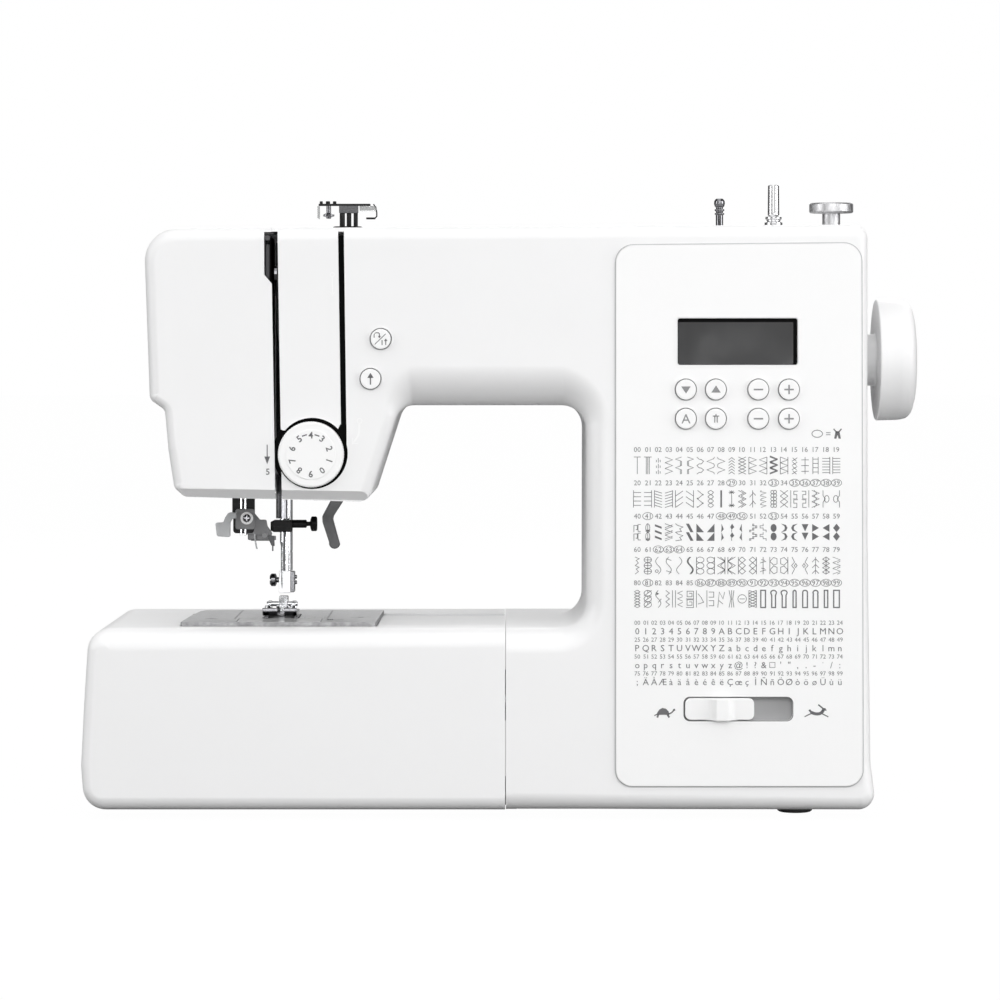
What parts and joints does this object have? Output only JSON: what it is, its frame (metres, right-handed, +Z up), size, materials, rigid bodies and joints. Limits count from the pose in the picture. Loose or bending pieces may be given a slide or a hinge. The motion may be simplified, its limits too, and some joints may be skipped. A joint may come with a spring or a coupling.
{
  "type": "sewing machine",
  "caption": "Computerised free-arm sewing machine with removable extension table, stitch panel, head with needle and presser foot, handwheel and top winder.",
  "frame": {"origin": "centre of the bounding box, on the ground under the rubber feet", "axes": "+X to the operator's right, towards the handwheel; +Y away from the operator; +Z up"},
  "size_m": [0.4166, 0.1634, 0.3157],
  "materials": {
    "casing": "satin white moulded plastic",
    "panel": "white printed overlay",
    "grey_plastic": "light grey moulded plastic",
    "mid_grey_plastic": "grey moulded plastic",
    "black_plastic": "black moulded plastic",
    "rubber": "soft rubber",
    "smoked_window": "smoked display window",
    "steel": "satin brushed steel",
    "chrome": "polished chrome plate",
    "cast": "die-cast aluminium",
    "clear_plastic": "clear plastic"
  },
  "bodies": {
    "machine_body": {"front_cover": "casing", "rear_cover": "casing", "face_cover": "casing", "base_tray": "grey_plastic", "free_arm_cover": "casing", "main_frame": "cast", "control_panel": "panel", "lcd_window": "smoked_window", "needle_plate": "steel", "bobbin_case": "black_plastic", "drive_motor": "black_plastic", "timing_belt": "rubber", "winder_stop": "grey_plastic", "top_thread_guide": "black_plastic", "power_inlet": "black_plastic", "foot_front_right": "rubber", "foot_rear_right": "rubber", "foot_front_left": "rubber", "foot_rear_left": "rubber"},
    "handwheel": {"handwheel": "casing", "upper_shaft": "steel"},
    "connecting_rod": {"connecting_rod": "steel"},
    "lower_shaft": {"lower_shaft": "steel"},
    "rotary_hook": {"rotary_hook": "steel"},
    "bobbin": {"bobbin": "clear_plastic"},
    "take_up_lever": {"take_up_lever": "chrome"},
    "needle_bar_frame": {"needle_bar_frame": "cast"},
    "needle_bar": {"needle_bar": "chrome", "needle_clamp": "black_plastic", "needle": "chrome"},
    "needle_clamp_screw": {"needle_clamp_screw": "black_plastic"},
    "presser_bar": {"presser_bar": "chrome", "presser_foot_holder": "chrome"},
    "presser_foot": {"presser_foot": "chrome"},
    "presser_lifter": {"presser_lifter": "mid_grey_plastic"},
    "needle_threader": {"needle_threader": "mid_grey_plastic"},
    "threader_hook": {"threader_hook": "mid_grey_plastic"},
    "feed_bar": {"feed_bar": "cast"},
    "feed_dog": {"feed_dog": "steel"},
    "bobbin_cover": {"bobbin_cover": "clear_plastic"},
    "bobbin_cover_latch": {"bobbin_cover_latch": "black_plastic"},
    "extension_table": {"extension_table": "casing"},
    "accessory_door": {"accessory_door": "casing"},
    "tension_dial": {"tension_dial": "casing"},
    "speed_slider": {"speed_slider": "panel"},
    "carry_handle": {"carry_handle": "casing"},
    "power_switch": {"power_switch": "black_plastic"},
    "winder_carriage": {"winder_carriage": "grey_plastic"},
    "winder_spindle": {"winder_spindle": "grey_plastic"},
    "spool_pin": {"spool_pin": "grey_plastic"},
    "key_select_down": {"key_select_down": "grey_plastic"},
    "key_select_up": {"key_select_up": "grey_plastic"},
    "key_letter_mode": {"key_letter_mode": "grey_plastic"},
    "key_twin_needle": {"key_twin_needle": "grey_plastic"},
    "key_width_minus": {"key_width_minus": "grey_plastic"},
    "key_width_plus": {"key_width_plus": "grey_plastic"},
    "key_length_minus": {"key_length_minus": "grey_plastic"},
    "key_length_plus": {"key_length_plus": "grey_plastic"},
    "reverse_button": {"reverse_button": "grey_plastic"},
    "needle_position_button": {"needle_position_button": "grey_plastic"}
  },
  "joints": [
    {"name": "handwheel_spin", "type": "hinge", "parent": "machine_body", "child": "handwheel", "pos_m": [0, -0.0183, 0.2257], "axis": [1, 0, 0], "continuous": true},
    {"name": "connecting_rod_swing", "type": "hinge", "parent": "handwheel", "child": "connecting_rod", "pos_m": [-0.1041, -0.0183, 0.2397], "axis": [1, 0, 0], "continuous": true},
    {"name": "lower_shaft_spin", "type": "hinge", "parent": "machine_body", "child": "lower_shaft", "pos_m": [0, -0.0183, 0.053], "axis": [1, 0, 0], "continuous": true},
    {"name": "hook_spin", "type": "hinge", "parent": "machine_body", "child": "rotary_hook", "pos_m": [-0.1126, -0.0383, 0.06], "axis": [0, 0, 1], "continuous": true},
    {"name": "bobbin_spin", "type": "hinge", "parent": "machine_body", "child": "bobbin", "pos_m": [-0.1126, -0.0383, 0.075], "axis": [0, 0, 1], "continuous": true},
    {"name": "take_up_swing", "type": "hinge", "parent": "machine_body", "child": "take_up_lever", "pos_m": [-0.1126, -0.0363, 0.24], "axis": [1, 0, 0], "range_deg": [0, 74]},
    {"name": "needle_swing", "type": "hinge", "parent": "machine_body", "child": "needle_bar_frame", "pos_m": [-0.1126, -0.0183, 0.266], "axis": [0, 1, 0], "range_deg": [-1.2, 1.2]},
    {"name": "needle_bar_stroke", "type": "slide", "parent": "needle_bar_frame", "child": "needle_bar", "axis": [0, 0, 1], "range_m": [-0.028, 0]},
    {"name": "clamp_screw_turn", "type": "hinge", "parent": "needle_bar", "child": "needle_clamp_screw", "pos_m": [-0.1, -0.0183, 0.143], "axis": [1, 0, 0], "range_deg": [0, 360]},
    {"name": "presser_lifter_swing", "type": "hinge", "parent": "machine_body", "child": "presser_lifter", "pos_m": [-0.086, 0.0432, 0.172], "axis": [0, -1, 0], "range_deg": [0, 80]},
    {"name": "presser_bar_lift", "type": "slide", "parent": "machine_body", "child": "presser_bar", "axis": [0, 0, 1], "range_m": [0, 0.006]},
    {"name": "presser_foot_tilt", "type": "hinge", "parent": "presser_bar", "child": "presser_foot", "pos_m": [-0.1126, -0.0053, 0.1024], "axis": [1, 0, 0], "range_deg": [-6, 1]},
    {"name": "threader_drop", "type": "slide", "parent": "machine_body", "child": "needle_threader", "axis": [0, 0, 1], "range_m": [-0.022, 0]},
    {"name": "threader_hook_turn", "type": "hinge", "parent": "needle_threader", "child": "threader_hook", "pos_m": [-0.127, -0.0303, 0.132], "axis": [0, 0, 1], "range_deg": [0, 72]},
    {"name": "feed_advance", "type": "slide", "parent": "machine_body", "child": "feed_bar", "axis": [0, 1, 0], "range_m": [-0.002, 0.002]},
    {"name": "feed_lift", "type": "slide", "parent": "feed_bar", "child": "feed_dog", "axis": [0, 0, 1], "range_m": [-0.0025, 0]},
    {"name": "bobbin_cover_lift", "type": "slide", "parent": "machine_body", "child": "bobbin_cover", "axis": [0, 0, 1], "range_m": [0, 0.02]},
    {"name": "bobbin_cover_latch_slide", "type": "slide", "parent": "machine_body", "child": "bobbin_cover_latch", "axis": [1, 0, 0], "range_m": [0, 0.0042]},
    {"name": "extension_table_pull", "type": "slide", "parent": "machine_body", "child": "extension_table", "axis": [-1, 0, 0], "range_m": [0, 0.2]},
    {"name": "accessory_door_swing", "type": "hinge", "parent": "extension_table", "child": "accessory_door", "pos_m": [-0.2076, 0.0037, 0.0228], "axis": [0, -1, 0], "range_deg": [0, 90]},
    {"name": "tension_dial_turn", "type": "hinge", "parent": "machine_body", "child": "tension_dial", "pos_m": [-0.095, -0.0763, 0.1794], "axis": [0, 1, 0], "range_deg": [-144, 180]},
    {"name": "speed_slider_slide", "type": "slide", "parent": "machine_body", "child": "speed_slider", "axis": [1, 0, 0], "range_m": [0, 0.018]},
    {"name": "carry_handle_swing", "type": "hinge", "parent": "machine_body", "child": "carry_handle", "pos_m": [0.03, 0.0441, 0.284], "axis": [1, 0, 0], "range_deg": [0, 180]},
    {"name": "power_switch_rock", "type": "hinge", "parent": "machine_body", "child": "power_switch", "pos_m": [0.176, 0.0187, 0.04], "axis": [0, -1, 0], "range_deg": [0, 10]},
    {"name": "winder_engage", "type": "slide", "parent": "machine_body", "child": "winder_carriage", "axis": [1, 0, 0], "range_m": [0, 0.004]},
    {"name": "winder_spin", "type": "hinge", "parent": "winder_carriage", "child": "winder_spindle", "pos_m": [0.1384, 0.0147, 0.3], "axis": [0, 0, 1], "continuous": true},
    {"name": "spool_pin_extend", "type": "slide", "parent": "machine_body", "child": "spool_pin", "axis": [0, 0, 1], "range_m": [0, 0.03]},
    {"name": "key_select_down_press", "type": "slide", "parent": "machine_body", "child": "key_select_down", "axis": [0, 1, 0], "range_m": [0, 0.0012], "stiffness_N_per_m": 300},
    {"name": "key_select_up_press", "type": "slide", "parent": "machine_body", "child": "key_select_up", "axis": [0, 1, 0], "range_m": [0, 0.0012], "stiffness_N_per_m": 300},
    {"name": "key_letter_mode_press", "type": "slide", "parent": "machine_body", "child": "key_letter_mode", "axis": [0, 1, 0], "range_m": [0, 0.0012], "stiffness_N_per_m": 300},
    {"name": "key_twin_needle_press", "type": "slide", "parent": "machine_body", "child": "key_twin_needle", "axis": [0, 1, 0], "range_m": [0, 0.0012], "stiffness_N_per_m": 300},
    {"name": "key_width_minus_press", "type": "slide", "parent": "machine_body", "child": "key_width_minus", "axis": [0, 1, 0], "range_m": [0, 0.0012], "stiffness_N_per_m": 300},
    {"name": "key_width_plus_press", "type": "slide", "parent": "machine_body", "child": "key_width_plus", "axis": [0, 1, 0], "range_m": [0, 0.0012], "stiffness_N_per_m": 300},
    {"name": "key_length_minus_press", "type": "slide", "parent": "machine_body", "child": "key_length_minus", "axis": [0, 1, 0], "range_m": [0, 0.0012], "stiffness_N_per_m": 300},
    {"name": "key_length_plus_press", "type": "slide", "parent": "machine_body", "child": "key_length_plus", "axis": [0, 1, 0], "range_m": [0, 0.0012], "stiffness_N_per_m": 300},
    {"name": "reverse_button_press", "type": "slide", "parent": "machine_body", "child": "reverse_button", "axis": [0, 1, 0], "range_m": [0, 0.0012], "stiffness_N_per_m": 300},
    {"name": "needle_position_button_press", "type": "slide", "parent": "machine_body", "child": "needle_position_button", "axis": [0, 1, 0], "range_m": [0, 0.0012], "stiffness_N_per_m": 300}
  ],
  "couplings": [
    {"joint": "connecting_rod_swing", "follows": "handwheel_spin", "ratio": -1},
    {"joint": "lower_shaft_spin", "follows": "handwheel_spin", "ratio": 1},
    {"joint": "hook_spin", "follows": "handwheel_spin", "ratio": 2},
    {"joint": "presser_lifter_swing", "follows": "presser_bar_lift", "rad_per_m": 232.5}
  ]
}
